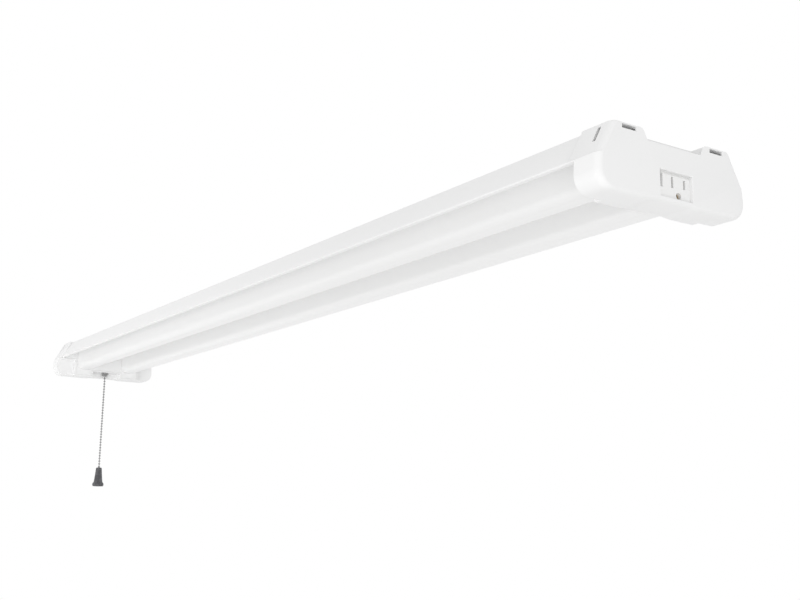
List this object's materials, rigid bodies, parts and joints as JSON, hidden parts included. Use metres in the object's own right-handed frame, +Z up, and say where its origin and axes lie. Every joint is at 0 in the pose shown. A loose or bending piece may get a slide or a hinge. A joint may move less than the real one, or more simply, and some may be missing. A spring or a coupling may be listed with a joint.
{
  "type": "hanging shop light",
  "caption": "Long white linkable LED shop light with twin lenses, moulded end caps with hook slots, an outlet in one end and a pull chain at the other.",
  "frame": {"origin": "the centre of the housing's flat top face, midway between the two ends", "axes": "+X runs along the light to the outlet end, +Z is up, +Y completes the right-handed frame; the pull chain hangs at the -X end"},
  "size_m": [1.2206, 0.155, 0.2224],
  "materials": {
    "white_steel": "satin white enamel",
    "lens_plastic": "milky diffusing plastic, unlit",
    "board_white": "white solder mask",
    "led_yellow": "phosphor",
    "screw_zinc": "zinc plated",
    "driver_steel": "galvanised",
    "board_green": "green solder mask",
    "core_brown": "ferrite with tape",
    "capacitor_blue": "shrink sleeve",
    "screw_green": "green dyed zinc",
    "cap_plastic": "moulded white, fine satin",
    "outlet_plastic": "moulded white",
    "contact_brass": "bare",
    "bushing_black": "moulded black",
    "switch_grey": "moulded phenolic",
    "switch_fibre": "pressed fibre",
    "nipple_nickel": "nickel plated",
    "slider_nylon": "natural nylon",
    "spring_steel": "bright",
    "ratchet_red": "moulded",
    "chain_steel": "nickel plated beads",
    "bell_metal": "dark satin",
    "wire_black": "insulated",
    "wire_white": "insulated",
    "connector_amber": "tinted",
    "wire_green": "insulated",
    "wire_red": "insulated",
    "saddle_white": "moulded"
  },
  "bodies": {
    "light": {"housing": "white_steel", "lamp_tray": "white_steel", "lens_left": "lens_plastic", "lens_right": "lens_plastic", "led_board_left": "board_white", "led_board_right": "board_white", "leds_left": "led_yellow", "leds_right": "led_yellow", "board_screws": "screw_zinc", "driver_case": "driver_steel", "driver_cover": "driver_steel", "driver_board": "board_green", "driver_transformer": "core_brown", "driver_capacitors": "capacitor_blue", "driver_screws": "screw_zinc", "ground_screw": "screw_green", "near_end_cap": "cap_plastic", "far_end_cap": "cap_plastic", "near_bulkhead": "cap_plastic", "far_bulkhead": "cap_plastic", "end_cap_screws": "screw_zinc", "outlet_body": "outlet_plastic", "hot_contact": "contact_brass", "neutral_contact": "contact_brass", "ground_contact": "contact_brass", "outlet_screws": "screw_zinc", "cord_bushing": "bushing_black", "switch_body": "switch_grey", "switch_cover": "switch_fibre", "switch_nipple": "nipple_nickel", "ring_nut": "nipple_nickel", "switch_spring": "spring_steel", "switch_axle": "spring_steel", "switch_terminals": "contact_brass", "line_wire": "wire_black", "switched_wire": "wire_black", "neutral_wire": "wire_white", "splice_connector": "connector_amber", "ground_wire": "wire_green", "outlet_wire": "wire_black", "led_wires": "wire_red", "wire_saddles": "saddle_white"},
    "slider": {"switch_slider": "slider_nylon", "chain_stub": "chain_steel"},
    "pivot_bead": {"chain_pivot_bead": "chain_steel"},
    "chain": {"pull_chain": "chain_steel", "pull_bell": "bell_metal"},
    "ratchet": {"switch_ratchet": "ratchet_red"}
  },
  "joints": [
    {"name": "chain_pull", "type": "slide", "parent": "light", "child": "slider", "axis": [0, 0, -1], "range_m": [0, 0.008], "stiffness_N_per_m": 400, "springref_m": -0.004, "deforming": ["switch_spring"]},
    {"name": "ratchet_turn", "type": "hinge", "parent": "light", "child": "ratchet", "pos_m": [-0.5963, 0, -0.0268], "axis": [0, 1, 0], "range_deg": [0, 90.5]},
    {"name": "chain_swing_x", "type": "hinge", "parent": "slider", "child": "pivot_bead", "pos_m": [-0.5855, 0, -0.0555], "axis": [1, 0, 0], "range_deg": [-45, 45]},
    {"name": "chain_swing_y", "type": "hinge", "parent": "pivot_bead", "child": "chain", "pos_m": [-0.5855, 0, -0.0555], "axis": [0, 1, 0], "range_deg": [-45, 45]}
  ],
  "couplings": [
    {"joint": "ratchet_turn", "follows": "chain_pull", "rad_per_m": 196.35}
  ]
}
